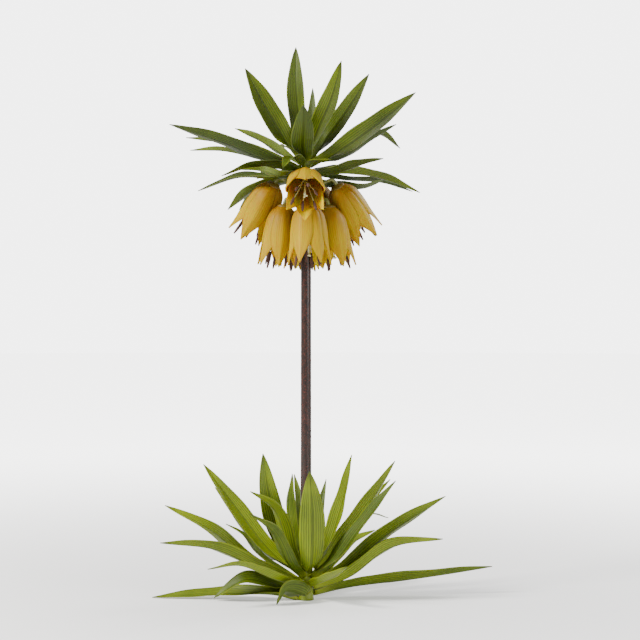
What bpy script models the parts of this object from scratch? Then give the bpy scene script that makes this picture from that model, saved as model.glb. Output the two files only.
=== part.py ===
"""A crown imperial fritillary, cut at the ground and standing upright: a rosette of broad leaves, a bare
stem, a ring of hanging bells and a tuft of leaves above them. All sizes here are in millimetres."""

import math

import bmesh
import bpy
import mathutils
import numpy as np

MM = 0.001
OBJECT_NAME = "crown_imperial"

# The stem: heights and radii
STEM_PROFILE = [
    (0, 9.3), (5, 8.6), (30, 8.0), (90, 6.7), (300, 6.1), (455, 6.0), (485, 5.8), (508, 4.8), (525, 3.6),
]
STEM_SIDES = 11
STALK_RADIUS = 1.9
STALK_SIDES = 5
STALK_CLEARANCE = 0.6

# The leaves
LEAF_THICK = 0.8
LEAF_STEPS = 6
WIDE_LEAF = 27.5
ROOT_SHARE = 0.34
ROOT_FOLD = 46
BLADE_FOLD = 24
ROLL_STEPS = [0, 0.28, 1]
ROLL_SHARES = [0, 1, 0.8]
# How fast a blade widens from its root and narrows to its tip
BODY_RISE = 0.75
BODY_FALL = 0.85
# The share of the blade over which the fold of the root opens
FOLD_EASE = 0.45
KEEL_POWER = 1.25
TIP_WIDTH = 1.6
SHEATH_RADIUS = 3.1
SHEATH_WAY = (-0.6, 4, 9)
TWIN_STEP = (0.7, 2.0)
# Gap from the stem to the middle of a root, for a level leaf, and what an upright one adds
ROOT_CLEARANCE = (0.5, 0.85)
SHEATH_CLEARANCE = (1.15, 2.0)

# The bells: distance down the bell, its radius and half the width of a petal there
BELL_PROFILE = [
    (0, 4.5, 3.6), (5, 11.2, 8), (14, 16.2, 12), (30, 19, 14.6),
    (46, 20.4, 13.4), (59, 22.6, 8), (72, 25, 0.9),
]
BELL_STEPS = 5
PETALS = 6
PETAL_ACROSS = 3
PETAL_THICK = 0.8
PETAL_GAP = 1.5
PETAL_CROWN = 0.05
CAP_PROFILE = [(1.6, 2.6), (0.4, 6.4), (-1.8, 8.6), (-3.6, 6.0)]

# The stamens, measured down from the top of the bell
OVARY_PROFILE = [(-4.1, 2.2), (-8, 3), (-16, 1.6)]
FILAMENT_TOP = 10
ANTHER_TOP = 55
ANTHER_END = 73
ANTHER_RING = 14.5
ANTHER_RADIUS = 1.7
FILAMENT_RADIUS = 0.7
STYLE_END = 60
STYLE_RADIUS = 0.9
STYLE_TOP = 12
LOBE_REACH = 2.4
LOBE_DROP = 1.2
LOBE_TURN = 30
# The stamens stand in two rings: how far each ring is moved out and down
STAMEN_TURN = 12
STAMEN_RINGS = [(-1, -2.5), (1.2, 2)]
FILAMENT_IN = 2.6
ANTHER_NECK = 3

# A stalk: where it starts inside the stem, where it leaves it and how far it rises there
STALK_ROOT = 2
STALK_EDGE = 9
STALK_RISE = 5
STALK_BEND = 7
STALK_STRAIGHT = 3

# Bells: the name, the top of the bell, the way its mouth faces, the turn of its first petal in degrees,
# and how far below the top of the bell its stalk leaves the stem
BELLS = [
    ("1", (-1, -42, 492), (0, -0.917, -0.4), 90, 12),
    ("2", (-37, 8, 487), (-0.47, 0.34, -0.82), 20, 12),
    ("3", (36, 9, 485), (0.45, 0.37, -0.81), 10, 10),
    ("4", (-25, -6, 461), (-0.12, 0.02, -0.993), 35, 6),
    ("5", (2, -37, 462), (0.02, -0.14, -0.99), 5, 6),
    ("6", (26, -7, 460), (0.12, 0, -0.993), 50, 6),
    ("7", (10, 42, 487), (0.15, 0.66, -0.73), 0, 12),
    ("8", (-3, 31, 460), (-0.02, 0.1, -1), 25, 6),
]

# Leaves of the tuft. Each row is a leaf: the heading of its root in degrees, the height of its root, and its
# blades. A blade is three points on its way to the tip, its width and its roll in degrees. A second blade
# in a row springs from the same sheath.
TUFT = [
    (-168, 504, [((-52, -13, 518), (-98, -15, 536), (-158, -25, 554), 23, 40),
                 ((-52, 17, 526), (-96, 30, 538), (-143, 40, 544), 16, 31)]),
    (148, 510, [((-32, 34, 528), (-56, 56, 544), (-86, 75, 558), 18, 58)]),
    (-151, 516, [((-24, -5, 539), (-47, -6, 577), (-71, -6, 621), 29, -75),
                 ((-20, 11, 532), (-43, 25, 561), (-64, 35, 591), 14, 54)]),
    (118, 521, [((-7, 12, 545), (-12, 8, 597), (-12, 12, 648), 24, -80),
                ((3, 17, 541), (7, 30, 572), (8, 40, 603), 12, 0)]),
    (-84, 514, [((-4, -39, 529), (-3, -60, 549), (-3, -77, 571), 29, 5)]),
    (-75, 520, [((12, -32, 546), (28, -58, 581), (40, -69, 622), 26, -10)]),
    (47, 515, [((23, 18, 541), (48, 6, 575), (74, 7, 616), 24, -72),
               ((20, 29, 542), (39, 44, 571), (56, 63, 601), 12, 0)]),
    (-28, 510, [((35, -10, 524), (78, -4, 554), (128, -6, 593), 27, -59),
                ((40, 9, 519), (74, 22, 540), (107, 31, 559), 18, -48)]),
    (22, 507, [((47, 30, 532), (89, 55, 551), (114, 76, 534), 15, -34)]),
    (-42, 496, [((34, -26, 500), (63, -43, 508), (88, -61, 512), 22, -17)]),
    (12, 497, [((46, -3, 501), (90, 9, 495), (134, 11, 477), 22, -23),
               ((46, 40, 495), (93, 69, 493), (129, 79, 482), 14, -21)]),
    (42, 490, [((34, 30, 486), (67, 39, 485), (94, 56, 495), 22, -20)]),
    (-113, 507, [((-10, -31, 514), (-18, -56, 514), (-26, -81, 500), 18, 2)]),
    (-80, 502, [((5, -33, 509), (14, -52, 510), (28, -77, 510), 14, 0)]),
    (-132, 499, [((-25, -27, 504), (-62, -48, 505), (-96, -65, 492), 22, 21),
                 ((-30, -62, 494), (-55, -50, 500), (-76, -68, 499), 14, 14)]),
    (176, 497, [((-36, -10, 494), (-80, 7, 496), (-127, 11, 479), 21, -20),
                ((-53, 58, 520), (-98, 63, 531), (-141, 94, 533), 16, 28)]),
    (159, 490, [((-30, 25, 491), (-66, 39, 481), (-94, 59, 459), 22, 20),
                ((-33, 52, 489), (-62, 85, 481), (-82, 110, 461), 17, 12)]),
    (85, 508, [((4, 50, 530), (13, 89, 545), (20, 120, 557), 24, 0),
               ((-10, 60, 528), (-22, 90, 538), (-38, 115, 537), 22, 0)]),
    (68, 498, [((17, 42, 504), (41, 74, 512), (69, 104, 508), 24, 0)]),
    (109, 492, [((-20, 52, 503), (-41, 74, 506), (-60, 110, 499), 24, 0)]),
]

# Leaves of the rosette, in the same form
ROSETTE = [
    (-160, 2, [((-36, -4, 9), (-95, 9, 7), (-181, 11, 1), 25, -22)]),
    (-175, 14, [((-31, 0, 16), (-71, -16, 27), (-107, -10, 4), 25, -30)]),
    (-131, 18, [((-36, -43, 33), (-75, -58, 50), (-111, -77, 47), 22, 18)]),
    (-162, 23, [((-57, -18, 43), (-106, -26, 65), (-168, -34, 71), 27, 36),
                ((-52, 13, 49), (-75, 38, 72), (-96, 54, 82), 13, 0)]),
    (159, 22, [((-58, 19, 36), (-111, 9, 81), (-166, 12, 109), 25, -36)]),
    (165, 32, [((-46, 11, 61), (-83, 16, 108), (-121, 17, 157), 23, -60),
               ((-53, 36, 56), (-82, 53, 88), (-110, 72, 124), 22, 69)]),
    (128, 41, [((-30, 34, 71), (-44, 16, 124), (-51, 24, 169), 28, -80)]),
    (-140, 37, [((-18, -18, 60), (-35, -32, 110), (-64, -41, 131), 25, 18)]),
    (-119, 28, [((-20, -36, 51), (-38, -57, 89), (-64, -78, 110), 25, 0)]),
    (179, 43, [((-16, 1, 81), (-19, 4, 114), (-16, 4, 147), 20, 85),
               ((-5, 24, 78), (-8, 29, 113), (-14, 41, 143), 12, 0)]),
    (-77, 37, [((6, -43, 52), (7, -69, 107), (4, -95, 159), 33, 2)]),
    (-27, 40, [((24, -9, 65), (42, -11, 120), (53, -18, 171), 26, 52),
               ((14, 18, 72), (18, 36, 108), (24, 50, 136), 11, 0)]),
    (11, 36, [((36, 7, 64), (72, 11, 111), (105, 16, 161), 26, -57),
              ((42, 40, 64), (75, 55, 106), (102, 79, 133), 20, 0)]),
    (-38, 28, [((30, -17, 47), (66, -30, 95), (103, -39, 143), 28, 44)]),
    (5, 22, [((47, 4, 39), (100, 7, 81), (164, 10, 120), 27, -54),
             ((47, 57, 69), (75, 75, 91), (101, 108, 83), 8, 0)]),
    (-19, 16, [((47, -6, 29), (99, -15, 66), (159, -15, 73), 27, -37)]),
    (14, 8, [((46, 20, 14), (124, 29, 22), (222, 41, 33), 27, -36)]),
    (-65, 19, [((17, -36, 28), (31, -63, 38), (46, -85, 51), 22, -8)]),
    (-94, 9, [((-5, -24, 13), (-24, -38, 18), (-34, -41, 1), 30, 50)]),
    (109, 9, [((-14, 38, 6), (-42, 90, 12), (-70, 121, 1), 26, 10)]),
    (72, 14, [((16, 48, 20), (48, 85, 52), (85, 115, 67), 30, 0)]),
    (88, 30, [((1, 52, 45), (4, 92, 82), (6, 125, 93), 30, 0)]),
    (68, 4, [((12, 47, 5), (39, 89, 7), (67, 121, 1), 20, 0)]),
]

# Colours and roughness
STEM_FINISH = ((0.09, 0.05, 0.03), 0.35)
TUFT_FINISH = ((0.12, 0.2, 0.03), 0.5)
ROSETTE_FINISH = ((0.22, 0.33, 0.04), 0.5)
PETAL_FINISH = ((0.78, 0.56, 0.03), 0.45)
STAMEN_FINISH = ((0.16, 0.04, 0.03), 0.7)


def unit(vector):
    return np.asarray(vector, float) / np.linalg.norm(vector)


def heading_of(degrees):
    return np.array([math.cos(math.radians(degrees)), math.sin(math.radians(degrees)), 0.0])


def smooth_curve(points, steps):
    """Points at even distances along a centripetal Catmull-Rom curve through the given ones"""
    given = np.asarray(points, float)
    given = np.vstack([2 * given[0] - given[1], given, 2 * given[-1] - given[-2]])
    knots = np.concatenate([[0], np.cumsum(np.linalg.norm(np.diff(given, axis=0), axis=1) ** 0.5)])

    def blend(a, b, i, j, s):
        return ((knots[j] - s) * a + (s - knots[i]) * b) / (knots[j] - knots[i])

    pieces = []
    for i in range(1, len(given) - 2):
        s = np.linspace(knots[i], knots[i + 1], 24)[:, None]
        first = [blend(given[j], given[j + 1], j, j + 1, s) for j in (i - 1, i, i + 1)]
        second = [blend(first[k], first[k + 1], i - 1 + k, i + 1 + k, s) for k in (0, 1)]
        pieces.append(blend(second[0], second[1], i, i + 1, s))
    fine = np.vstack(pieces)
    run = np.concatenate([[0], np.cumsum(np.linalg.norm(np.diff(fine, axis=0), axis=1))])
    wanted = np.linspace(0, run[-1], steps + 1)
    return np.stack([np.interp(wanted, run, fine[:, axis]) for axis in range(3)], -1)


def blade_grid(points, width, roll, steps, across):
    """A grid of points on a lance-shaped blade, folded along its midrib"""
    middle = smooth_curve(points, steps)
    t = np.linspace(0, 1, steps + 1)
    along = np.gradient(middle, axis=0)
    along /= np.linalg.norm(along, axis=1)[:, None]
    reach = np.asarray(points[-1], float) - points[0]
    level = unit([-reach[1], reach[0], 0])
    side = level - (along @ level)[:, None] * along
    side /= np.linalg.norm(side, axis=1)[:, None]
    up = np.cross(along, side)
    turn = np.radians(roll * np.interp(t, ROLL_STEPS, ROLL_SHARES))[:, None]
    out = side * np.cos(turn) + up * np.sin(turn)
    face = up * np.cos(turn) - side * np.sin(turn)
    body = t**BODY_RISE * (1 - t) ** BODY_FALL
    body /= body_peak()
    root = ROOT_SHARE * (1 - t) ** 3
    half = np.maximum(width * (body * (1 - root) + root), TIP_WIDTH) / 2
    fold = np.radians(ROOT_FOLD + (BLADE_FOLD - ROOT_FOLD) * np.minimum(1, t / FOLD_EASE))
    v = np.linspace(-1, 1, across + 1)[None, :, None]
    spread = v * (half * np.cos(fold))[:, None, None] * out[:, None, :]
    lift = (np.abs(v) ** KEEL_POWER - 0.5) * (half * np.sin(fold))[:, None, None] * face[:, None, :]
    return middle[:, None, :] + spread + lift


def body_peak():
    """The highest value of t**BODY_RISE * (1 - t)**BODY_FALL"""
    both = BODY_RISE + BODY_FALL
    return (BODY_RISE / both) ** BODY_RISE * (BODY_FALL / both) ** BODY_FALL


def petal_grid(number, turn):
    """A grid of points on one petal of a bell hung from the origin. Every second petal is an inner one"""
    shape = np.array(BELL_PROFILE, float)
    down = np.linspace(0, 1, BELL_STEPS + 1) ** 0.9 * shape[-1, 0]
    radius = np.interp(down, shape[:, 0], shape[:, 1]) - PETAL_GAP * (number % 2)
    half = np.interp(down, shape[:, 0], shape[:, 2])
    v = np.linspace(-1, 1, PETAL_ACROSS + 1)[None, :]
    angle = math.radians(turn + 360 / PETALS * number) + v * (half / radius)[:, None]
    ring = radius[:, None] + (1 - v**2) * (half * PETAL_CROWN)[:, None]
    return np.stack([ring * np.cos(angle), ring * np.sin(angle), np.repeat(-down[:, None], v.size, 1)], -1)


def make_object(name, points, faces):
    mesh = bpy.data.meshes.new(name)
    mesh.from_pydata([tuple(point * MM) for point in np.asarray(points, float)], [], faces)
    mesh.update()
    made = bpy.data.objects.new(name, mesh)
    PARTS.objects.link(made)
    return made


def keep_evaluated(obj):
    """Makes the evaluated mesh the object's own, welded and with its faces out"""
    graph = bpy.context.evaluated_depsgraph_get()
    mesh = bpy.data.meshes.new_from_object(obj.evaluated_get(graph))
    obj.modifiers.clear()
    old = obj.data
    obj.data = mesh
    bpy.data.meshes.remove(old)
    face_out(obj)


def face_out(obj):
    made = bmesh.new()
    made.from_mesh(obj.data)
    bmesh.ops.remove_doubles(made, verts=made.verts, dist=1e-6)
    bmesh.ops.recalc_face_normals(made, faces=made.faces)
    made.to_mesh(obj.data)
    made.free()


def drop_crumbs(obj):
    """Keeps the largest connected piece and drops the loose crumbs that a union can leave"""
    made = bmesh.new()
    made.from_mesh(obj.data)
    left = set(made.verts)
    pieces = []
    while left:
        front = [left.pop()]
        piece = list(front)
        while front:
            vert = front.pop()
            near = {edge.other_vert(vert) for edge in vert.link_edges} & left
            left -= near
            front += near
            piece += near
        pieces.append(piece)
    pieces.sort(key=len)
    crumbs = [vert for piece in pieces[:-1] for vert in piece]
    bmesh.ops.delete(made, geom=crumbs, context="VERTS")
    made.to_mesh(obj.data)
    made.free()


def sheet(name, grid, thick):
    """A thin solid on the grid, with the same triangles on both of its faces"""
    rows, columns = grid.shape[:2]
    faces = []
    for i in range(rows - 1):
        for j in range(columns - 1):
            a = i * columns + j
            b, c, d = a + 1, a + columns + 1, a + columns
            faces += [(a, b, c), (a, c, d)] if (i + j) % 2 else [(a, b, d), (b, c, d)]
    made = make_object(name, grid.reshape(-1, 3), faces)
    shell = made.modifiers.new("thickness", "SOLIDIFY")
    shell.thickness = thick * MM
    shell.offset = 0
    keep_evaluated(made)
    return made


def loft(name, rings):
    """A solid through rings of points, all with the same number of points"""
    sides = len(rings[0])
    faces = []
    for i in range(len(rings) - 1):
        for k in range(sides):
            a = i * sides + k
            b = i * sides + (k + 1) % sides
            faces += [(a, b, b + sides), (a, b + sides, a + sides)]
    faces.append(tuple(range(sides)))
    faces.append(tuple(range((len(rings) - 1) * sides, len(rings) * sides)))
    made = make_object(name, np.concatenate(rings), faces)
    face_out(made)
    return made


def lathe(name, profile, sides):
    """A solid of revolution round Z through heights and radii"""
    around = [heading_of(360 * k / sides) for k in range(sides)]
    return loft(name, [[way * radius + [0, 0, height] for way in around] for height, radius in profile])


def tube(name, points, radii, sides):
    """A round solid that follows the points, with a radius at each"""
    way = np.asarray(points, float)
    along = np.gradient(way, axis=0)
    side = np.cross(along[0], [0.31, 0.87, 0.12])
    rings = []
    for point, tangent, radius in zip(way, along, radii):
        tangent = unit(tangent)
        side = unit(side - tangent * (side @ tangent))
        other = np.cross(tangent, side)
        angles = [2 * math.pi * k / sides for k in range(sides)]
        rings.append([point + radius * (math.cos(a) * side + math.sin(a) * other) for a in angles])
    return loft(name, rings)


def unite(base, others, solver="EXACT"):
    """Joins the other solids to the base in one Boolean union, and removes them"""
    group = bpy.data.collections.new(base.name + "_pieces")
    bpy.context.scene.collection.children.link(group)
    for other in others:
        PARTS.objects.unlink(other)
        group.objects.link(other)
    union = base.modifiers.new("joined", "BOOLEAN")
    union.operation = "UNION"
    union.operand_type = "COLLECTION"
    union.collection = group
    union.solver = solver
    bpy.context.view_layer.update()
    keep_evaluated(base)
    for other in list(group.objects):
        bpy.data.objects.remove(other)
    bpy.data.collections.remove(group)
    drop_crumbs(base)
    return base


def finish(obj, colour, roughness):
    material = bpy.data.materials.new(obj.name + "_colour")
    material.use_nodes = True
    shader = material.node_tree.nodes["Principled BSDF"]
    shader.inputs["Base Color"].default_value = (*colour, 1)
    shader.inputs["Roughness"].default_value = roughness
    material.diffuse_color = (*colour, 1)
    obj.data.materials.clear()
    obj.data.materials.append(material)


def stem_radius(height):
    heights, radii = zip(*STEM_PROFILE)
    return np.interp(height, heights, radii)


def make_leaf(name, heading, root_height, blades, colour):
    """One leaf, or two that spring from one sheath"""
    twins = len(blades) > 1
    away = heading_of(heading)
    root = away * stem_radius(root_height) + [0, 0, root_height]
    steepness = max(0, unit(blades[0][0] - root)[2])
    level_gap, upright_gap = SHEATH_CLEARANCE if twins else ROOT_CLEARANCE
    root += away * (level_gap + upright_gap * steepness)
    solids = []
    roots = []
    for number, (near, middle, tip, width, roll) in enumerate(blades):
        start = root + number * (away * TWIN_STEP[0] + [0, 0, TWIN_STEP[1]])
        across = 4 if width > WIDE_LEAF else 2
        grid = blade_grid([start, near, middle, tip], width, roll, LEAF_STEPS - number, across)
        solids.append(sheet(f"{name}_blade_{number}", grid, LEAF_THICK))
        roots.append((start, near))
    leaf = solids[0]
    if twins:
        start, near = np.mean(np.array(roots, float), axis=0)
        along = unit(near - start)
        way = [start + along * distance for distance in SHEATH_WAY]
        sheath = tube(f"{name}_sheath", way, [SHEATH_RADIUS, SHEATH_RADIUS, SHEATH_RADIUS / 2], 6)
        leaf = unite(sheath, solids, "MANIFOLD")
    leaf.name = name
    leaf.data.name = name
    finish(leaf, *colour)


def hang(obj, top, direction):
    """Moves a piece that was made round the downward axis at the origin to its bell"""
    turn = mathutils.Vector((0, 0, -1)).rotation_difference(mathutils.Vector(direction)).to_matrix().to_4x4()
    obj.data.transform(mathutils.Matrix.Translation(mathutils.Vector(top) * MM) @ turn)


def make_bell(name, top, direction, turn):
    """Six petals in two rings of three, grown together at the cap"""
    petals = [sheet(f"{name}_petal_{k}", petal_grid(k, turn), PETAL_THICK) for k in range(PETALS)]
    bell = unite(lathe(name, CAP_PROFILE, 8), petals)
    hang(bell, top, direction)
    finish(bell, *PETAL_FINISH)


def make_stamens(name, top, direction, turn):
    """The ovary, the style with its three lobes, and the six filaments with their anthers, as one piece"""
    ovary = lathe(name, OVARY_PROFILE, 6)
    style_way = [(0, 0, -STYLE_TOP), (0, 0, -STYLE_END)]
    pieces = [tube(f"{name}_style", style_way, [STYLE_RADIUS, STYLE_RADIUS], 4)]
    for lobe in range(3):
        out = heading_of(turn + LOBE_TURN + 120 * lobe)
        way = [out * 0.1 + [0, 0, 1.5 - STYLE_END], out * LOBE_REACH + [0, 0, -LOBE_DROP - STYLE_END]]
        pieces.append(tube(f"{name}_lobe_{lobe}", way, [STYLE_RADIUS, STYLE_RADIUS * 1.3], 3))
    for number in range(PETALS):
        moved_out, lower = STAMEN_RINGS[number % 2]
        out = heading_of(turn + STAMEN_TURN + 360 / PETALS * number)
        ring = ANTHER_RING + moved_out
        way = [
            out * 1.2 + [0, 0, -FILAMENT_TOP],
            out * (ring - FILAMENT_IN) + [0, 0, -ANTHER_TOP - lower],
            out * (ring - FILAMENT_IN + 1) + [0, 0, -ANTHER_TOP - lower - ANTHER_NECK],
            out * (ring + 0.9) + [0, 0, -ANTHER_END - lower],
        ]
        radii = [FILAMENT_RADIUS, FILAMENT_RADIUS, ANTHER_RADIUS, ANTHER_RADIUS * 0.6]
        pieces.append(tube(f"{name}_stamen_{number}", way, radii, 3))
    whole = unite(ovary, pieces)
    hang(whole, top, direction)
    finish(whole, *STAMEN_FINISH)


def make_stem():
    """The stem with the stalk of each bell, which grow as one piece"""
    stalks = []
    for name, top, direction, _, drop in BELLS:
        axis = unit(direction)
        end = np.array(top, float) - axis * (CAP_PROFILE[0][0] + STALK_CLEARANCE)
        away = unit([top[0], top[1], 0])
        start = away * STALK_ROOT + [0, 0, top[2] - drop]
        rise = away * STALK_EDGE + [0, 0, top[2] - drop + STALK_RISE]
        bend = end - axis * STALK_BEND - away * STALK_ROOT
        way = smooth_curve([start, rise, bend, end - axis * STALK_STRAIGHT], 4)
        radii = [STALK_RADIUS] * 4 + [STALK_RADIUS * 1.2, STALK_RADIUS * 1.35]
        stalks.append(tube(f"stalk_{name}", np.vstack([way, end]), radii, STALK_SIDES))
    stem = unite(lathe("stem", STEM_PROFILE, STEM_SIDES), stalks)
    finish(stem, *STEM_FINISH)


for old in list(bpy.data.objects):
    bpy.data.objects.remove(old)
PARTS = bpy.data.collections.new(OBJECT_NAME)
bpy.context.scene.collection.children.link(PARTS)

make_stem()
for bell, top, direction, turn, _ in BELLS:
    make_bell(f"bell_{bell}", top, direction, turn)
    make_stamens(f"stamens_{bell}", top, direction, turn)
for number, (heading, root_height, blades) in enumerate(TUFT, 1):
    make_leaf(f"crown_leaf_{number:02d}", heading, root_height, blades, TUFT_FINISH)
for number, (heading, root_height, blades) in enumerate(ROSETTE, 1):
    make_leaf(f"basal_leaf_{number:02d}", heading, root_height, blades, ROSETTE_FINISH)
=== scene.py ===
"""The looks of a crown imperial fritillary, cut at the ground and standing upright. Every node of the CAD
model is replaced by a finer piece of nearly the same form. The plant's sizes are in millimetres until a
mesh is made. The camera, the lights and the paper are in metres."""

import math

import bpy
import mathutils
import numpy as np
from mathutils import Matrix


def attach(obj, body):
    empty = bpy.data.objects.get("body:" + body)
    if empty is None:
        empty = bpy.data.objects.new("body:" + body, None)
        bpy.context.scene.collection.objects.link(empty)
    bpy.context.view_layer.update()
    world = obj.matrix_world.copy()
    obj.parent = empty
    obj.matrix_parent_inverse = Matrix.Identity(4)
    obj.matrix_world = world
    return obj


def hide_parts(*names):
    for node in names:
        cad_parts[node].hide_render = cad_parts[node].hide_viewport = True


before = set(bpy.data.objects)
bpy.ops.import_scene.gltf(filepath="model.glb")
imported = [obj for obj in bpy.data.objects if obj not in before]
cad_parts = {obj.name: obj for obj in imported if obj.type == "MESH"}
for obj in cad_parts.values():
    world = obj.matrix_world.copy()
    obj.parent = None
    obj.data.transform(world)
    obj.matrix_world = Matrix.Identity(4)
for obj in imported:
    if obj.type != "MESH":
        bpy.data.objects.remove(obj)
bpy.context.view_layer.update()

MM = 0.001

# The camera: level, straight in front, with the plant's axis left of the middle and above it
CAMERA_PLACE = (0, -2.2, 0.36)
CAMERA_LENS = 105.75
CAMERA_SHIFT = (14 / 640, -28 / 640)

# Forms that the CAD model has too
STALK_RADIUS = 1.9
ROOT_FOLD = 46
BLADE_FOLD = 24
ROLL_STEPS = [0, 0.28, 1]
ROLL_SHARES = [0, 1, 0.8]
BODY_RISE = 0.75
BODY_FALL = 0.85
FOLD_EASE = 0.45
KEEL_POWER = 1.25
TIP_WIDTH = 1.6
SHEATH_RADIUS = 3.1
SHEATH_WAY = (-0.6, 4, 9)
TWIN_STEP = (0.7, 2.0)
ROOT_CLEARANCE = (0.5, 0.85)
SHEATH_CLEARANCE = (1.15, 2.0)
PETALS = 6
PETAL_GAP = 1.5
CAP_PROFILE = [(1.6, 2.6), (0.4, 6.4), (-1.8, 8.6), (-3.6, 6.0)]
OVARY_PROFILE = [(-4.1, 2.2), (-8, 3), (-16, 1.6)]
FILAMENT_TOP = 10
ANTHER_TOP = 55
ANTHER_END = 73
ANTHER_RING = 14.5
ANTHER_RADIUS = 1.7
FILAMENT_RADIUS = 0.7
STYLE_END = 60
STYLE_RADIUS = 0.9
STYLE_TOP = 12
LOBE_REACH = 2.4
LOBE_DROP = 1.2
LOBE_TURN = 30
LOBES = 3
STAMEN_TURN = 12
STAMEN_RINGS = [(-1, -2.5), (1.2, 2)]
FILAMENT_IN = 2.6
STALK_ROOT = 2
STALK_EDGE = 9
STALK_RISE = 5
STALK_BEND = 7
STALK_STRAIGHT = 3
STEM_PROFILE = [
    (0, 9.3), (5, 8.6), (30, 8.0), (90, 6.7), (300, 6.1), (455, 6.0), (485, 5.8), (508, 4.8), (525, 3.6),
]
BELL_PROFILE = [
    (0, 4.5, 3.6), (5, 11.2, 8), (14, 16.2, 12), (30, 19, 14.6),
    (46, 20.4, 13.4), (59, 22.6, 8), (72, 25, 0.9),
]

# Bells: the name, the top of the bell, the way its mouth faces, the turn of its first petal in degrees,
# and how far below the top of the bell its stalk leaves the stem
BELLS = [
    ("1", (-1, -42, 492), (0, -0.917, -0.4), 90, 12),
    ("2", (-37, 8, 487), (-0.47, 0.34, -0.82), 20, 12),
    ("3", (36, 9, 485), (0.45, 0.37, -0.81), 10, 10),
    ("4", (-25, -6, 461), (-0.12, 0.02, -0.993), 35, 6),
    ("5", (2, -37, 462), (0.02, -0.14, -0.99), 5, 6),
    ("6", (26, -7, 460), (0.12, 0, -0.993), 50, 6),
    ("7", (10, 42, 487), (0.15, 0.66, -0.73), 0, 12),
    ("8", (-3, 31, 460), (-0.02, 0.1, -1), 25, 6),
]

# Leaves of the tuft. Each row is a leaf: the heading of its root in degrees, the height of its root, and its
# blades. A blade is three points on its way to the tip, its width and its roll in degrees. A second blade
# in a row springs from the same sheath.
TUFT = [
    (-168, 504, [((-52, -13, 518), (-98, -15, 536), (-158, -25, 554), 23, 40),
                 ((-52, 17, 526), (-96, 30, 538), (-143, 40, 544), 16, 31)]),
    (148, 510, [((-32, 34, 528), (-56, 56, 544), (-86, 75, 558), 18, 58)]),
    (-151, 516, [((-24, -5, 539), (-47, -6, 577), (-71, -6, 621), 29, -75),
                 ((-20, 11, 532), (-43, 25, 561), (-64, 35, 591), 14, 54)]),
    (118, 521, [((-7, 12, 545), (-12, 8, 597), (-12, 12, 648), 24, -80),
                ((3, 17, 541), (7, 30, 572), (8, 40, 603), 12, 0)]),
    (-84, 514, [((-4, -39, 529), (-3, -60, 549), (-3, -77, 571), 29, 5)]),
    (-75, 520, [((12, -32, 546), (28, -58, 581), (40, -69, 622), 26, -10)]),
    (47, 515, [((23, 18, 541), (48, 6, 575), (74, 7, 616), 24, -72),
               ((20, 29, 542), (39, 44, 571), (56, 63, 601), 12, 0)]),
    (-28, 510, [((35, -10, 524), (78, -4, 554), (128, -6, 593), 27, -59),
                ((40, 9, 519), (74, 22, 540), (107, 31, 559), 18, -48)]),
    (22, 507, [((47, 30, 532), (89, 55, 551), (114, 76, 534), 15, -34)]),
    (-42, 496, [((34, -26, 500), (63, -43, 508), (88, -61, 512), 22, -17)]),
    (12, 497, [((46, -3, 501), (90, 9, 495), (134, 11, 477), 22, -23),
               ((46, 40, 495), (93, 69, 493), (129, 79, 482), 14, -21)]),
    (42, 490, [((34, 30, 486), (67, 39, 485), (94, 56, 495), 22, -20)]),
    (-113, 507, [((-10, -31, 514), (-18, -56, 514), (-26, -81, 500), 18, 2)]),
    (-80, 502, [((5, -33, 509), (14, -52, 510), (28, -77, 510), 14, 0)]),
    (-132, 499, [((-25, -27, 504), (-62, -48, 505), (-96, -65, 492), 22, 21),
                 ((-30, -62, 494), (-55, -50, 500), (-76, -68, 499), 14, 14)]),
    (176, 497, [((-36, -10, 494), (-80, 7, 496), (-127, 11, 479), 21, -20),
                ((-53, 58, 520), (-98, 63, 531), (-141, 94, 533), 16, 28)]),
    (159, 490, [((-30, 25, 491), (-66, 39, 481), (-94, 59, 459), 22, 20),
                ((-33, 52, 489), (-62, 85, 481), (-82, 110, 461), 17, 12)]),
    (85, 508, [((4, 50, 530), (13, 89, 545), (20, 120, 557), 24, 0),
               ((-10, 60, 528), (-22, 90, 538), (-38, 115, 537), 22, 0)]),
    (68, 498, [((17, 42, 504), (41, 74, 512), (69, 104, 508), 24, 0)]),
    (109, 492, [((-20, 52, 503), (-41, 74, 506), (-60, 110, 499), 24, 0)]),
]

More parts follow.
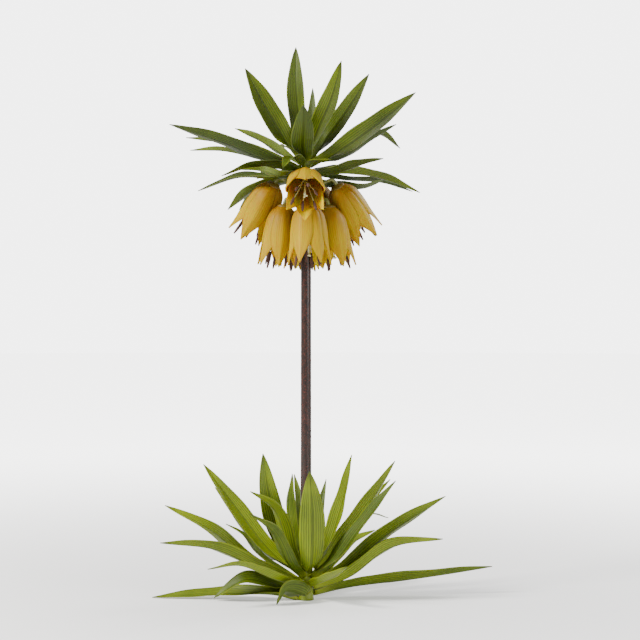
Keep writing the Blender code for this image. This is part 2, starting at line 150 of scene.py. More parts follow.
# Leaves of the rosette, in the same form
ROSETTE = [
    (-160, 2, [((-36, -4, 9), (-95, 9, 7), (-181, 11, 1), 25, -22)]),
    (-175, 14, [((-31, 0, 16), (-71, -16, 27), (-107, -10, 4), 25, -30)]),
    (-131, 18, [((-36, -43, 33), (-75, -58, 50), (-111, -77, 47), 22, 18)]),
    (-162, 23, [((-57, -18, 43), (-106, -26, 65), (-168, -34, 71), 27, 36),
                ((-52, 13, 49), (-75, 38, 72), (-96, 54, 82), 13, 0)]),
    (159, 22, [((-58, 19, 36), (-111, 9, 81), (-166, 12, 109), 25, -36)]),
    (165, 32, [((-46, 11, 61), (-83, 16, 108), (-121, 17, 157), 23, -60),
               ((-53, 36, 56), (-82, 53, 88), (-110, 72, 124), 22, 69)]),
    (128, 41, [((-30, 34, 71), (-44, 16, 124), (-51, 24, 169), 28, -80)]),
    (-140, 37, [((-18, -18, 60), (-35, -32, 110), (-64, -41, 131), 25, 18)]),
    (-119, 28, [((-20, -36, 51), (-38, -57, 89), (-64, -78, 110), 25, 0)]),
    (179, 43, [((-16, 1, 81), (-19, 4, 114), (-16, 4, 147), 20, 85),
               ((-5, 24, 78), (-8, 29, 113), (-14, 41, 143), 12, 0)]),
    (-77, 37, [((6, -43, 52), (7, -69, 107), (4, -95, 159), 33, 2)]),
    (-27, 40, [((24, -9, 65), (42, -11, 120), (53, -18, 171), 26, 52),
               ((14, 18, 72), (18, 36, 108), (24, 50, 136), 11, 0)]),
    (11, 36, [((36, 7, 64), (72, 11, 111), (105, 16, 161), 26, -57),
              ((42, 40, 64), (75, 55, 106), (102, 79, 133), 20, 0)]),
    (-38, 28, [((30, -17, 47), (66, -30, 95), (103, -39, 143), 28, 44)]),
    (5, 22, [((47, 4, 39), (100, 7, 81), (164, 10, 120), 27, -54),
             ((47, 57, 69), (75, 75, 91), (101, 108, 83), 8, 0)]),
    (-19, 16, [((47, -6, 29), (99, -15, 66), (159, -15, 73), 27, -37)]),
    (14, 8, [((46, 20, 14), (124, 29, 22), (222, 41, 33), 27, -36)]),
    (-65, 19, [((17, -36, 28), (31, -63, 38), (46, -85, 51), 22, -8)]),
    (-94, 9, [((-5, -24, 13), (-24, -38, 18), (-34, -41, 1), 30, 50)]),
    (109, 9, [((-14, 38, 6), (-42, 90, 12), (-70, 121, 1), 26, 10)]),
    (72, 14, [((16, 48, 20), (48, 85, 52), (85, 115, 67), 30, 0)]),
    (88, 30, [((1, 52, 45), (4, 92, 82), (6, 125, 93), 30, 0)]),
    (68, 4, [((12, 47, 5), (39, 89, 7), (67, 121, 1), 20, 0)]),
]

# Colours
TUFT_DEEP = (0.027, 0.045, 0.001)
TUFT_BRIGHT = (0.125, 0.17, 0.002)
TUFT_RIB = (0.27, 0.32, 0.03)
ROSETTE_DEEP = (0.05, 0.082, 0.001)
ROSETTE_BRIGHT = (0.215, 0.28, 0.002)
ROSETTE_RIB = (0.38, 0.43, 0.03)
PETAL_YELLOW = (0.68, 0.54, 0.0)
PETAL_GOLD = (0.55, 0.38, 0.0)
# Painted highlight: a pale yellow laid down the middle of each petal, where light catches its ridge
PETAL_PAINTED_HIGHLIGHT = (0.82, 0.68, 0.005)
# Dark brown of the veins, also used as painted shade along the petals' edges where they meet
PETAL_VEIN_AND_SEAM_SHADE = (0.36, 0.18, 0.001)
PETAL_OCHRE = (0.25, 0.115, 0.001)
PETAL_INSIDE = (0.22, 0.1, 0.001)
CAP_BROWN = (0.15, 0.065, 0.001)
CAP_GREEN = (0.13, 0.1, 0.006)
STEM_DARK = (0.012, 0.006, 0.004)
STEM_BROWN = (0.03, 0.011, 0.006)
STEM_SPECK = (0.16, 0.03, 0.02)
STEM_GREEN = (0.07, 0.09, 0.01)
STEM_FOOT = (0.17, 0.22, 0.01)
STALK_COLOURS = ((0.08, 0.085, 0.01), (0.16, 0.16, 0.02))
FILAMENT_COLOURS = ((0.55, 0.5, 0.2), (0.75, 0.72, 0.42))
ANTHER_COLOURS = ((0.035, 0.012, 0.008), (0.1, 0.04, 0.022))
PAPER_COLOUR = (0.9, 0.895, 0.885)
PAPER_LIGHT = (1.0, 0.997, 0.99)

# How finely the pieces are made
LEAF_STEPS = 44
LEAF_ACROSS = 14
PETAL_STEPS = 30
PETAL_ACROSS = 14
ROUND_SIDES = 20
TUBE_SIDES = 10
STALK_SIDES = 14
SPAN_POINTS = 24
STEM_STEPS = 160
STALK_STEPS = 24
CAP_STEPS = 12
OVARY_STEPS = 10
FILAMENT_STEPS = 14
ANTHER_STEPS = 12
SHEATH_STEPS = 4

# A fine leaf: its thickness at its midrib and at its edge, and its root, which is broader than in the CAD
# model, where neighbours must stay apart
LEAF_THICK = (1.0, 0.6)
FINE_ROOT_SHARE = 0.62
ROOT_FADE = 2.2
TIP_TAPER = 0.6
# The waves of its edges: their height as a share of its width, their number, and how far they lag across it
WAVE_HEIGHT = 0.035
WAVES = 2.6
WAVE_LAG = 2
# The least height of a blade's middle surface above the ground
FLOOR_GAP = 0.6

# A fine petal: thickness, doming from edge to edge, a keel down its middle and a narrower tip
PETAL_THICK = (0.9, 0.6)
FINE_CROWN = 0.12
PETAL_KEEL = 0.8
KEEL_WIDTH = 0.16
KEEL_START = 12
TIP_NARROWING = 0.3

# Fine stalks and stamens
STALK_INTO_CAP = 0.4
STALK_SWELL = 0.4
SWELL_POWER = 6
LOBE_WAY = [(0.1, 1.5), (1.4, -0.5)]
LOBE_SWELL = (1, 1.1, 1.2)
FILAMENT_START = 1.2
FILAMENT_BEND = (0.45, -34)
FILAMENT_THINNING = 0.7
ANTHER_LEAN = 0.9
ANTHER_OVER_NECK = 1.5
ANTHER_TIP_SHARE = 0.25

# How tones differ between the petals of a bell, and between leaves by heading, root height and blade
PETAL_TONES = (0.37, 0.013)
LEAF_TONES = (1.7, 0.9, 2.1)

# The paper: its size, the light the camera sees from it near the plant and what its far part adds, and
# the distances between which that is added
FLOOR_RADIUS = 9
FLOOR_SIDES = 64
PAPER_GLOW = (0.3, 3.9)
GLOW_REACH = (0.1, 2.2)

# The room's light on the plant, and the backdrop that only the camera sees
ROOM_STRENGTH = 0.55
BACKDROP_STRENGTH = 5.0

# Lights: the name, the place, the size, the power and the colour. All face the same point
LIGHT_TARGET = (0, 0, 0.3)
LIGHTS = [
    ("key", (-1.7, -0.9, 1.7), 0.6, 110, (1, 0.985, 0.96)),
    ("fill", (1.7, -1.5, 0.9), 1.4, 30, (0.97, 0.985, 1)),
    ("rim", (1.5, 1.3, 1.4), 0.9, 32, (1, 1, 1)),
]

# Veins from edge to edge
LEAF_VEINS = 11
PETAL_VEINS = 13


def unit(vector):
    """The vector at length 1"""
    return np.asarray(vector, float) / np.linalg.norm(vector)


def heading_of(degrees):
    """The level way that points at so many degrees round from X"""
    return np.array([math.cos(math.radians(degrees)), math.sin(math.radians(degrees)), 0.0])


def smooth_curve(points, steps):
    """Points at even distances along a centripetal Catmull-Rom curve through the given ones"""
    given = np.asarray(points, float)
    given = np.vstack([2 * given[0] - given[1], given, 2 * given[-1] - given[-2]])
    knots = np.concatenate([[0], np.cumsum(np.linalg.norm(np.diff(given, axis=0), axis=1) ** 0.5)])

    def blend(a, b, i, j, s):
        return ((knots[j] - s) * a + (s - knots[i]) * b) / (knots[j] - knots[i])

    pieces = []
    for i in range(1, len(given) - 2):
        s = np.linspace(knots[i], knots[i + 1], SPAN_POINTS)[:, None]
        first = [blend(given[j], given[j + 1], j, j + 1, s) for j in (i - 1, i, i + 1)]
        second = [blend(first[k], first[k + 1], i - 1 + k, i + 1 + k, s) for k in (0, 1)]
        pieces.append(blend(second[0], second[1], i, i + 1, s))
    fine = np.vstack(pieces)
    run = np.concatenate([[0], np.cumsum(np.linalg.norm(np.diff(fine, axis=0), axis=1))])
    wanted = np.linspace(0, run[-1], steps + 1)
    return np.stack([np.interp(wanted, run, fine[:, axis]) for axis in range(fine.shape[1])], -1)


def body_peak():
    """The highest value of t**BODY_RISE * (1 - t)**BODY_FALL"""
    both = BODY_RISE + BODY_FALL
    return (BODY_RISE / both) ** BODY_RISE * (BODY_FALL / both) ** BODY_FALL


def blade_grid(points, width, roll, wave):
    """A grid of points on a lance-shaped blade, folded along its midrib, with a slow wave in its edges"""
    middle = smooth_curve(points, LEAF_STEPS)
    t = np.linspace(0, 1, LEAF_STEPS + 1)
    along = np.gradient(middle, axis=0)
    along /= np.linalg.norm(along, axis=1)[:, None]
    reach = np.asarray(points[-1], float) - points[0]
    level = unit([-reach[1], reach[0], 0])
    side = level - (along @ level)[:, None] * along
    side /= np.linalg.norm(side, axis=1)[:, None]
    up = np.cross(along, side)
    turn = np.radians(roll * np.interp(t, ROLL_STEPS, ROLL_SHARES))[:, None]
    out = side * np.cos(turn) + up * np.sin(turn)
    face = up * np.cos(turn) - side * np.sin(turn)
    body = t**BODY_RISE * (1 - t) ** BODY_FALL / body_peak()
    root = FINE_ROOT_SHARE * (1 - t) ** ROOT_FADE
    half = np.maximum(width * (body * (1 - root) + root), TIP_WIDTH * (1 - TIP_TAPER * t)) / 2
    fold = np.radians(ROOT_FOLD + (BLADE_FOLD - ROOT_FOLD) * np.minimum(1, t / FOLD_EASE))
    v = np.linspace(-1, 1, LEAF_ACROSS + 1)[None, :, None]
    spread = v * (half * np.cos(fold))[:, None, None] * out[:, None, :]
    lift = (np.abs(v) ** KEEL_POWER - 0.5) * (half * np.sin(fold))[:, None, None]
    ripple = np.sin(2 * math.pi * (WAVES * t[:, None, None] + wave) + WAVE_LAG * v)
    lift = lift + WAVE_HEIGHT * width * np.sin(math.pi * t)[:, None, None] * v**2 * ripple
    grid = middle[:, None, :] + spread + lift * face[:, None, :]
    grid[..., 2] = np.maximum(grid[..., 2], FLOOR_GAP)
    return grid


def petal_grid(number, turn):
    """A grid of points on one petal of a bell hung from the origin, with a keel down its middle"""
    down, radius, half = smooth_curve(BELL_PROFILE, PETAL_STEPS).T
    half = half * (1 - TIP_NARROWING * np.clip(down / down[-1] * 2 - 1, 0, 1))
    radius = radius - PETAL_GAP * (number % 2)
    v = np.linspace(-1, 1, PETAL_ACROSS + 1)[None, :]
    angle = math.radians(turn + 360 / PETALS * number) + v * (half / radius)[:, None]
    keel = (1 - v**2) * (half * FINE_CROWN)[:, None] + PETAL_KEEL * np.exp(-((v / KEEL_WIDTH) ** 2))
    ring = radius[:, None] + keel * np.minimum(1, down / KEEL_START)[:, None]
    level = np.repeat(-down[:, None], v.size, 1)
    return np.stack([ring * np.cos(angle), ring * np.sin(angle), level], -1)


def sheet_patch(grid, middle_thick, edge_thick, tone, material=0):
    """A closed skin round a grid of points: both faces and the rim"""
    rows, columns = grid.shape[:2]
    normal = np.cross(np.gradient(grid, axis=1), np.gradient(grid, axis=0))
    normal /= np.maximum(np.linalg.norm(normal, axis=-1, keepdims=True), 1e-9)
    share = np.abs(np.linspace(-1, 1, columns))[None, :, None]
    offset = normal * (middle_thick + (edge_thick - middle_thick) * share) / 2
    index = np.arange(rows * columns).reshape(rows, columns)
    upper = np.stack([index[:-1, :-1], index[:-1, 1:], index[1:, 1:], index[1:, :-1]], -1).reshape(-1, 4)
    lower = upper[:, ::-1] + rows * columns
    border = np.concatenate([index[0, :-1], index[:-1, -1], index[-1, :0:-1], index[:0:-1, 0]])
    after = np.roll(border, -1)
    rim = np.stack([border, border + rows * columns, after + rows * columns, after], -1)
    across, along = np.meshgrid(np.linspace(0, 1, columns), np.linspace(0, 1, rows))
    uv = np.stack([across, along], -1).reshape(-1, 2)
    points = np.concatenate([(grid + offset).reshape(-1, 3), (grid - offset).reshape(-1, 3)])
    return points, np.concatenate([upper, lower, rim]).tolist(), np.vstack([uv, uv]), tone, material


def ring_patch(rings, tone=0.5, material=0):
    """A closed skin through rings of points, which run round and up it"""
    rings = np.asarray(rings, float)
    count, sides = rings.shape[:2]
    faces = []
    for i in range(count - 1):
        for k in range(sides):
            a = i * sides + k
            b = i * sides + (k + 1) % sides
            faces.append([a, b, b + sides, a + sides])
    faces.append(list(range(sides))[::-1])
    faces.append(list(range((count - 1) * sides, count * sides)))
    around, along = np.meshgrid(np.linspace(0, 1, sides), np.linspace(0, 1, count))
    return rings.reshape(-1, 3), faces, np.stack([around, along], -1).reshape(-1, 2), tone, material


def lathe_patch(profile, tone=0.5, material=0):
    """A solid of revolution round Z through heights and radii, lowest first"""
    around = [heading_of(360 * k / ROUND_SIDES) for k in range(ROUND_SIDES)]
    rings = [[way * radius + [0, 0, height] for way in around] for height, radius in profile]
    return ring_patch(rings, tone, material)


def tube_patch(points, radii, tone=0.5, material=0, sides=TUBE_SIDES):
    """A round solid that follows the points, with a radius at each"""
    way = np.asarray(points, float)
    along = np.gradient(way, axis=0)
    side = np.cross(along[0], [0.31, 0.87, 0.12])
    rings = []
    for point, tangent, radius in zip(way, along, radii):
        tangent = unit(tangent)
        side = unit(side - tangent * (side @ tangent))
        other = np.cross(tangent, side)
        angles = [2 * math.pi * k / sides for k in range(sides)]
        rings.append([point + radius * (math.cos(a) * side + math.sin(a) * other) for a in angles])
    return ring_patch(rings, tone, material)


def make_piece(node, patches, materials):
    """One mesh from the patches, standing for a CAD node. The second half of a patch's points is a sheet's
    lower face, which the petal material darkens."""
    points = []
    faces = []
    uvs = []
    tones = []
    insides = []
    kinds = []
    for patch_points, patch_faces, patch_uv, tone, material in patches:
        first = sum(len(group) for group in points)
        points.append(patch_points)
        faces += [[corner + first for corner in face] for face in patch_faces]
        kinds += [material] * len(patch_faces)
        uvs.append(patch_uv)
        tones.append(np.full(len(patch_points), tone))
        insides.append(np.arange(len(patch_points)) >= len(patch_points) / 2)
    mesh = bpy.data.meshes.new(f"{node}_fine")
    mesh.from_pydata((np.concatenate(points) * MM).tolist(), [], faces)
    mesh.polygons.foreach_set("material_index", kinds)
    mesh.polygons.foreach_set("use_smooth", [True] * len(mesh.polygons))
    corners = np.empty(len(mesh.loops), dtype=np.int32)
    mesh.loops.foreach_get("vertex_index", corners)
    mesh.uv_layers.new(name="Grain").data.foreach_set("uv", np.concatenate(uvs)[corners].ravel())
    mesh.attributes.new("tone", "FLOAT", "POINT").data.foreach_set("value", np.concatenate(tones))
    inside = mesh.attributes.new("inside", "FLOAT", "POINT")
    inside.data.foreach_set("value", np.concatenate(insides).astype(float))
    for material in materials:
        mesh.materials.append(material)
    mesh.update()
    piece = bpy.data.objects.new(f"{node}_fine", mesh)
    bpy.context.scene.collection.objects.link(piece)
    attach(piece, "root")
    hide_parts(node)
    return piece


class Shader:
    """A material's nodes, with short calls for the few kinds that are used here"""

    def __init__(self, name):
        self.material = bpy.data.materials.new(name)
        self.material.use_nodes = True
        self.nodes = self.material.node_tree.nodes
        self.links = self.material.node_tree.links
        self.surface = self.nodes["Principled BSDF"]

    def put(self, socket, value):
        """Links a socket to another's output, or sets its own value"""
        if isinstance(value, bpy.types.NodeSocket):
            self.links.new(value, socket)
        elif isinstance(value, tuple) and socket.type == "RGBA":
            socket.default_value = (*value, 1)
        else:
            socket.default_value = value

    def new(self, kind, **inputs):
        """A node of that kind with the named inputs put in"""
        made = self.nodes.new(kind)
        for name, value in inputs.items():
            self.put(made.inputs[name], value)
        return made

    def calc(self, operation, first, second=0.0):
        """The result of a sum on one or two values"""
        made = self.nodes.new("ShaderNodeMath")
        made.operation = operation
        self.put(made.inputs[0], first)
        self.put(made.inputs[1], second)
        return made.outputs[0]

    def band(self, value, low, high):
        """0 below low, 1 above high, eased between"""
        made = self.nodes.new("ShaderNodeMapRange")
        made.interpolation_type = "SMOOTHSTEP"
        self.put(made.inputs["Value"], value)
        made.inputs["From Min"].default_value = low
        made.inputs["From Max"].default_value = high
        return made.outputs["Result"]

    def fade(self, value, low, high):
        """1 below low, 0 above high, eased between"""
        return self.calc("SUBTRACT", 1.0, self.band(value, low, high))

    def mix(self, factor, first, second):
        """The first colour where the factor is 0 and the second where it is 1"""
        made = self.nodes.new("ShaderNodeMix")
        made.data_type = "RGBA"
        self.put(made.inputs["Factor"], factor)
        self.put(made.inputs[6], first)
        self.put(made.inputs[7], second)
        return made.outputs[2]

    def over(self, colour, other, mask, strength):
        """The colour with another laid over it where the mask is 1, at that strength"""
        return self.mix(self.calc("MULTIPLY", mask, strength), colour, other)

    def scaled(self, vector, x, y, z):
        """The vector stretched along each axis"""
        made = self.nodes.new("ShaderNodeMapping")
        self.put(made.inputs["Vector"], vector)
        made.inputs["Scale"].default_value = (x, y, z)
        return made.outputs[0]

    def noise(self, vector, scale, detail=3.0):
        """Soft noise from about 0 to 1"""
        made = self.new("ShaderNodeTexNoise", Vector=vector, Scale=scale, Detail=detail)
        return made.outputs["Fac"]

    def place(self):
        """The place on the object, in metres"""
        return self.nodes.new("ShaderNodeTexCoord").outputs["Object"]

    def grain(self):
        """The ways across and along a piece, and its tone"""
        uv = self.nodes.new("ShaderNodeUVMap")
        uv.uv_map = "Grain"
        split = self.new("ShaderNodeSeparateXYZ", Vector=uv.outputs["UV"])
        tone = self.nodes.new("ShaderNodeAttribute")
        tone.attribute_name = "tone"
        return split.outputs["X"], split.outputs["Y"], tone.outputs["Fac"]

    def wax(self, specular, subsurface, depth):
        """A dull gloss with a little light let in, down to that depth in metres"""
        self.surface.inputs["Specular IOR Level"].default_value = specular
        self.surface.inputs["Subsurface Weight"].default_value = subsurface
        self.surface.inputs["Subsurface Scale"].default_value = depth

    def finish(self, colour, roughness, height, strength, distance=0.0004):
        """Sets the surface, with fine relief from the height"""
        bump = self.new("ShaderNodeBump", Height=height, Strength=strength, Distance=distance)
        self.put(self.surface.inputs["Base Color"], colour)
        self.put(self.surface.inputs["Roughness"], roughness)
        self.put(self.surface.inputs["Normal"], bump.outputs["Normal"])


def veins_of(shader, across, along, tone, count):
    """Parallel veins that wander a little, 1 on a vein and 0 between two"""
    combined = shader.new("ShaderNodeCombineXYZ", X=across, Y=along, Z=tone).outputs[0]
    wander = shader.noise(shader.scaled(combined, 3, 5, 9), 1.0, 2.0)
    shifted = shader.calc("ADD", across, shader.calc("MULTIPLY", wander, 0.05))
    wave = shader.calc("SINE", shader.calc("MULTIPLY", shifted, 2 * math.pi * count))
    return shader.band(wave, 0.1, 1.0), combined


def leaf_material(name, deep, bright, root_colour, roughness):
    """Glossy green with dark parallel veins between paler ribs, and painted shade along the midrib's crease
    """
    shader = Shader(name)
    across, along, tone = shader.grain()
    vein, grain = veins_of(shader, across, along, tone, LEAF_VEINS)
    fine, _ = veins_of(shader, across, along, tone, LEAF_VEINS * 2.7)
    streak = shader.noise(shader.scaled(grain, 30, 2, 40), 1.0, 4.0)
    cloud = shader.noise(shader.place(), 24.0, 3.0)
    blend = shader.calc("ADD", shader.calc("MULTIPLY", tone, 0.3), shader.calc("MULTIPLY", streak, 0.45))
    blend = shader.calc("ADD", blend, shader.calc("MULTIPLY", cloud, 0.45))
    colour = shader.mix(shader.band(blend, 0.3, 0.9), deep, bright)
    dark = tuple(0.35 * part for part in deep)
    vein = shader.calc("MULTIPLY", vein, shader.fade(along, 0.72, 0.97))
    colour = shader.over(colour, dark, vein, strength=0.72)
    colour = shader.over(colour, dark, fine, strength=0.08)
    from_middle = shader.calc("ABSOLUTE", shader.calc("SUBTRACT", across, 0.5))
    # Painted shade: a dark line along the midrib, where the fold's crease holds shade. The same mask also
    # sinks the crease a little in the relief.
    midrib = shader.fade(from_middle, 0.005, 0.04)
    colour = shader.over(colour, dark, midrib, strength=0.6)
    margin = shader.band(from_middle, 0.47, 0.5)
    colour = shader.over(colour, root_colour, margin, strength=0.3)
    foot = shader.fade(along, 0.0, 0.16)
    colour = shader.over(colour, root_colour, foot, strength=0.45)
    tip = shader.band(along, 0.88, 1.0)
    colour = shader.over(colour, dark, tip, strength=0.6)
    gloss = shader.calc("ADD", roughness, shader.calc("MULTIPLY", cloud, 0.16))
    height = shader.calc("SUBTRACT", shader.calc("MULTIPLY", streak, 0.4), shader.calc("MULTIPLY", vein, 0.8))
    height = shader.calc("SUBTRACT", height, midrib)
    shader.finish(colour, gloss, height, 0.45)
    shader.wax(specular=0.25, subsurface=0.1, depth=0.0015)
    return shader.material


def petal_material(name):
    """Waxy yellow petals, ochre at the bell's crown, with a painted highlight down the middle, darker veins,
    and painted shade along the edges where petals meet
    """
    shader = Shader(name)
    across, along, tone = shader.grain()
    vein, grain = veins_of(shader, across, along, tone, PETAL_VEINS)
    streak = shader.noise(shader.scaled(grain, 20, 2, 30), 1.0, 4.0)
    colour = shader.mix(shader.band(streak, 0.3, 0.75), PETAL_YELLOW, PETAL_GOLD)
    from_middle = shader.calc("ABSOLUTE", shader.calc("SUBTRACT", across, 0.5))
    # Painted highlight: a pale band down the middle of each petal
    rib = shader.fade(from_middle, 0.02, 0.22)
    pale = shader.calc("MULTIPLY", rib, shader.band(along, 0.2, 0.6))
    colour = shader.over(colour, PETAL_PAINTED_HIGHLIGHT, pale, strength=0.35)
    colour = shader.over(colour, PETAL_VEIN_AND_SEAM_SHADE, vein, strength=0.32)
    # Painted shade: each petal darkens towards its edges, where neighbouring petals meet
    margin = shader.band(from_middle, 0.38, 0.5)
    colour = shader.over(colour, PETAL_VEIN_AND_SEAM_SHADE, margin, strength=0.4)
    reach = shader.calc("ADD", along, shader.calc("MULTIPLY", streak, 0.14))
    crown = shader.fade(reach, 0.14, 0.7)
    colour = shader.over(colour, PETAL_OCHRE, crown, strength=0.9)
    inner = shader.nodes.new("ShaderNodeAttribute")
    inner.attribute_name = "inside"
    colour = shader.over(colour, PETAL_INSIDE, inner.outputs["Fac"], strength=0.6)
    height = shader.calc("SUBTRACT", shader.calc("MULTIPLY", streak, 0.5), shader.calc("MULTIPLY", vein, 0.6))
    shader.finish(colour, 0.46, height, 0.45)
    shader.wax(specular=0.12, subsurface=0.3, depth=0.004)
    return shader.material


def cap_material():
    """The brown and green cap where a bell meets its stalk"""
    shader = Shader("bell_cap")
    speck = shader.noise(shader.place(), 420.0)
    colour = shader.mix(shader.band(speck, 0.35, 0.65), CAP_BROWN, CAP_GREEN)
    shader.finish(colour, 0.5, speck, 0.3)
    return shader.material


def stem_material():
    """A dark brown skin with reddish mottling and a soft gloss, green where it meets the leaves"""
    shader = Shader("stem_skin")
    place = shader.place()
    mottle = shader.noise(shader.scaled(place, 1, 1, 0.35), 330.0, 5.0)
    speck = shader.noise(shader.scaled(place, 1, 1, 0.6), 1100.0, 2.0)
    colour = shader.mix(shader.band(mottle, 0.42, 0.62), STEM_DARK, STEM_BROWN)
    colour = shader.over(colour, STEM_SPECK, shader.band(speck, 0.56, 0.68), strength=0.6)
    height_of = shader.new("ShaderNodeSeparateXYZ", Vector=place).outputs["Z"]
    wobble = shader.calc("ADD", height_of, shader.calc("MULTIPLY", mottle, 0.03))
    colour = shader.mix(shader.fade(wobble, 0.02, 0.1), colour, STEM_FOOT)
    head = shader.band(wobble, 0.46, 0.5)
    colour = shader.over(colour, STEM_GREEN, head, strength=0.8)
    height = shader.calc("ADD", shader.calc("MULTIPLY", mottle, 0.5), shader.calc("MULTIPLY", speck, 0.3))
    shader.finish(colour, 0.35, height, 0.25)
    shader.surface.inputs["Coat Weight"].default_value = 0.35
    shader.surface.inputs["Coat Roughness"].default_value = 0.15
    shader.surface.inputs["Specular IOR Level"].default_value = 0.3
    return shader.material


def grainy_material(name, colours, roughness, scale, strength):
    """A dusty or matt skin with two colours in a fine grain"""
    shader = Shader(name)
    speck = shader.noise(shader.place(), scale, 4.0)
    colour = shader.mix(shader.band(speck, 0.35, 0.65), *colours)
    shader.finish(colour, roughness, speck, strength)
    return shader.material


def bell_matrix(top, direction):
    """The turn from straight down to the way a bell's mouth faces, and the place of its top"""
    turn = mathutils.Vector((0, 0, -1)).rotation_difference(mathutils.Vector(direction)).to_matrix()
    return np.array(turn), np.array(top, float)


def hung(patch, top, direction):
    """Moves a patch made round the downward axis at the origin to its bell"""
    turn, place = bell_matrix(top, direction)
    points, *rest = patch
    return (points @ turn.T + place, *rest)


def smooth_profile(profile, steps):
    """Heights and radii along a smooth curve through the given ones"""
    return smooth_curve([(height, radius, 0) for height, radius in profile], steps)[:, :2]


def make_bell(name, top, direction, turn, materials):
    """The cap and the petals of one bell"""
    patches = [lathe_patch(smooth_profile(CAP_PROFILE[::-1], CAP_STEPS), 0.5, 1)]
    for number in range(PETALS):
        tone = (number * PETAL_TONES[0] + turn * PETAL_TONES[1]) % 1
        patches.append(sheet_patch(petal_grid(number, turn), *PETAL_THICK, tone))
    make_piece(name, [hung(patch, top, direction) for patch in patches], materials)


def make_stamens(name, top, direction, turn, materials):
    """The ovary, the style with its three lobes, and six filaments, each with a long anther"""
    patches = [lathe_patch(smooth_profile(OVARY_PROFILE[::-1], OVARY_STEPS))]
    style_way = [(0, 0, -STYLE_TOP), (0, 0, -STYLE_END)]
    patches.append(tube_patch(style_way, [STYLE_RADIUS] * 2))
    for lobe in range(LOBES):
        out = heading_of(turn + LOBE_TURN + 360 / LOBES * lobe)
        lobe_way = [*LOBE_WAY, (LOBE_REACH, -LOBE_DROP)]
        way = [out * reach + [0, 0, height - STYLE_END] for reach, height in lobe_way]
        patches.append(tube_patch(way, [STYLE_RADIUS * swell for swell in LOBE_SWELL]))
    for number in range(PETALS):
        moved_out, lower = STAMEN_RINGS[number % 2]
        out = heading_of(turn + STAMEN_TURN + 360 / PETALS * number)
        ring = ANTHER_RING + moved_out
        neck = out * (ring - FILAMENT_IN) + [0, 0, -ANTHER_TOP - lower]
        top_end = out * FILAMENT_START + [0, 0, -FILAMENT_TOP]
        bend = out * (ring * FILAMENT_BEND[0]) + [0, 0, FILAMENT_BEND[1]]
        way = smooth_curve([top_end, bend, neck], FILAMENT_STEPS)
        thinning = np.linspace(FILAMENT_RADIUS, FILAMENT_RADIUS * FILAMENT_THINNING, FILAMENT_STEPS + 1)
        patches.append(tube_patch(way, thinning))
        end = out * (ring + ANTHER_LEAN) + [0, 0, -ANTHER_END - lower]
        start = neck + [0, 0, ANTHER_OVER_NECK]
        share = np.linspace(0, 1, ANTHER_STEPS + 1)
        belly = np.sin(math.pi * np.clip(share, 0.04, 0.96)) ** 0.5
        radii = ANTHER_RADIUS * (ANTHER_TIP_SHARE + (1 - ANTHER_TIP_SHARE) * belly)
        patches.append(tube_patch(start + share[:, None] * (end - start), radii, 0.5, 1))
    make_piece(name, [hung(patch, top, direction) for patch in patches], materials)


def make_stem(materials):
    """The stem, and a stalk that arches from it to each bell"""
    patches = [lathe_patch(smooth_profile(STEM_PROFILE, STEM_STEPS))]
    for _, top, direction, _, drop in BELLS:
        axis = unit(direction)
        end = np.array(top, float) - axis * (CAP_PROFILE[0][0] - STALK_INTO_CAP)
        away = unit([top[0], top[1], 0])
        start = away * STALK_ROOT + [0, 0, top[2] - drop]
        rise = away * STALK_EDGE + [0, 0, top[2] - drop + STALK_RISE]
        bend = end - axis * STALK_BEND - away * STALK_ROOT
        way = smooth_curve([start, rise, bend, end - axis * STALK_STRAIGHT, end], STALK_STEPS)
        swell = STALK_SWELL * np.linspace(0, 1, STALK_STEPS + 1) ** SWELL_POWER
        patches.append(tube_patch(way, STALK_RADIUS * (1 + swell), 0.5, 1, STALK_SIDES))
    make_piece("stem", patches, materials)


def make_leaf(node, heading, root_height, blades, material):
    """One leaf, or two that spring from one sheath"""
    twins = len(blades) > 1
    away = heading_of(heading)
    heights, radii = zip(*STEM_PROFILE)
    root = away * np.interp(root_height, heights, radii) + [0, 0, root_height]
    steepness = max(0, unit(blades[0][0] - root)[2])
    level_gap, upright_gap = SHEATH_CLEARANCE if twins else ROOT_CLEARANCE
    root += away * (level_gap + upright_gap * steepness)
    patches = []
    for number, (near, middle, tip, width, roll) in enumerate(blades):
        start = root + number * (away * TWIN_STEP[0] + [0, 0, TWIN_STEP[1]])
        phase = heading * LEAF_TONES[0] + root_height * LEAF_TONES[1] + number * LEAF_TONES[2]
        tone = 0.5 + 0.5 * math.sin(phase)
        grid = blade_grid([start, near, middle, tip], width, roll, tone)
        patches.append(sheet_patch(grid, *LEAF_THICK, tone))
    if twins:
        along = unit(np.array(blades[0][0]) - root)
        distances = np.linspace(SHEATH_WAY[0], SHEATH_WAY[-1], SHEATH_STEPS + 1)
        way = [root + along * distance for distance in distances]
        radii = SHEATH_RADIUS * np.linspace(1, 0.5, SHEATH_STEPS + 1)
        patches.append(tube_patch(way, radii, 0.5))
    make_piece(node, patches, [material])


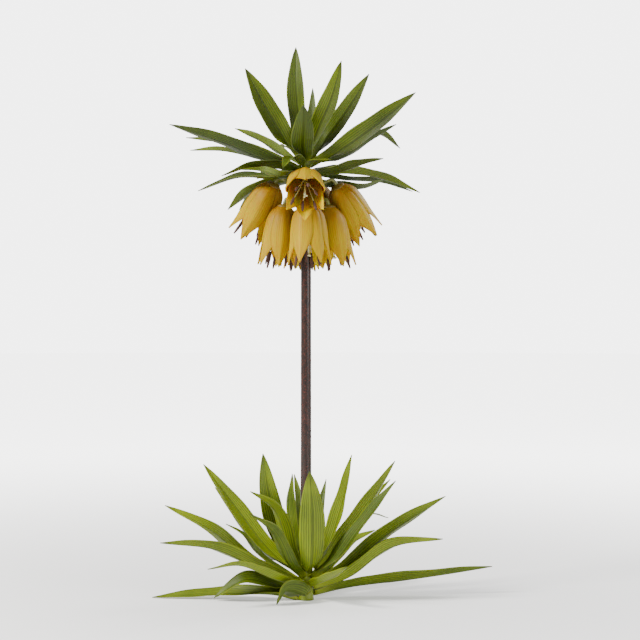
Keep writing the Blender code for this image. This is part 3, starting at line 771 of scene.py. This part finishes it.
def make_floor():
    """A wide pale paper under the plant, which the camera sees brighten with the distance from it"""
    around = [heading_of(360 * k / FLOOR_SIDES) * FLOOR_RADIUS for k in range(FLOOR_SIDES)]
    mesh = bpy.data.meshes.new("paper")
    mesh.from_pydata([tuple(point) for point in around], [], [tuple(range(FLOOR_SIDES))])
    shader = Shader("paper")
    place = shader.place()
    fibre = shader.noise(place, 140.0)
    shaded = tuple(0.98 * part for part in PAPER_COLOUR)
    shader.finish(shader.mix(fibre, PAPER_COLOUR, shaded), 0.8, fibre, 0.03)
    where = shader.new("ShaderNodeSeparateXYZ", Vector=place).outputs
    squares = [shader.calc("MULTIPLY", where[axis], where[axis]) for axis in "XY"]
    distance = shader.calc("SQRT", shader.calc("ADD", *squares))
    far_glow = shader.calc("MULTIPLY", shader.band(distance, *GLOW_REACH), PAPER_GLOW[1])
    shader.put(shader.surface.inputs["Emission Color"], PAPER_LIGHT)
    glow = shader.calc("ADD", PAPER_GLOW[0], far_glow)
    seen = shader.nodes.new("ShaderNodeLightPath").outputs["Is Camera Ray"]
    shader.put(shader.surface.inputs["Emission Strength"], shader.calc("MULTIPLY", glow, seen))
    mesh.materials.append(shader.material)
    floor = bpy.data.objects.new("paper", mesh)
    bpy.context.scene.collection.objects.link(floor)


def make_light(name, place, size, power, colour):
    """A round lamp that faces the plant"""
    lamp = bpy.data.lights.new(name, "AREA")
    lamp.shape = "DISK"
    lamp.size = size
    lamp.energy = power
    lamp.color = colour
    made = bpy.data.objects.new(name, lamp)
    made.location = place
    way = mathutils.Vector(LIGHT_TARGET) - made.location
    made.rotation_euler = way.to_track_quat("-Z", "Y").to_euler()
    bpy.context.scene.collection.objects.link(made)


def make_camera():
    """The level camera straight in front of the plant"""
    camera = bpy.data.cameras.new("camera")
    camera.lens = CAMERA_LENS
    camera.shift_x, camera.shift_y = CAMERA_SHIFT
    made = bpy.data.objects.new("camera", camera)
    made.location = CAMERA_PLACE
    made.rotation_euler = (math.pi / 2, 0, 0)
    bpy.context.scene.collection.objects.link(made)
    bpy.context.scene.camera = made


def make_world():
    """A soft even room, seen by the camera as a brighter backdrop"""
    world = bpy.data.worlds.new("room")
    world.use_nodes = True
    nodes = world.node_tree.nodes
    path = nodes.new("ShaderNodeLightPath")
    seen = nodes.new("ShaderNodeMapRange")
    seen.inputs["To Min"].default_value = ROOM_STRENGTH
    seen.inputs["To Max"].default_value = BACKDROP_STRENGTH
    world.node_tree.links.new(path.outputs["Is Camera Ray"], seen.inputs["Value"])
    background = nodes["Background"]
    background.inputs["Color"].default_value = (1, 1, 1, 1)
    world.node_tree.links.new(seen.outputs["Result"], background.inputs["Strength"])
    bpy.context.scene.world = world


tuft_leaf = leaf_material("tuft_leaf", TUFT_DEEP, TUFT_BRIGHT, TUFT_RIB, 0.34)
rosette_leaf = leaf_material("rosette_leaf", ROSETTE_DEEP, ROSETTE_BRIGHT, ROSETTE_RIB, 0.36)
bell_skins = [petal_material("petal"), cap_material()]
stamen_skins = [
    grainy_material("filament", FILAMENT_COLOURS, 0.5, 500.0, 0.2),
    grainy_material("anther", ANTHER_COLOURS, 0.85, 1500.0, 0.8),
]
stem_skins = [stem_material(), grainy_material("stalk", STALK_COLOURS, 0.4, 400.0, 0.2)]

make_stem(stem_skins)
for bell, top, direction, turn, _ in BELLS:
    make_bell(f"bell_{bell}", top, direction, turn, bell_skins)
    make_stamens(f"stamens_{bell}", top, direction, turn, stamen_skins)
for number, (heading, root_height, blades) in enumerate(TUFT, 1):
    make_leaf(f"crown_leaf_{number:02d}", heading, root_height, blades, tuft_leaf)
for number, (heading, root_height, blades) in enumerate(ROSETTE, 1):
    make_leaf(f"basal_leaf_{number:02d}", heading, root_height, blades, rosette_leaf)

make_floor()
make_camera()
make_world()
for light in LIGHTS:
    make_light(*light)
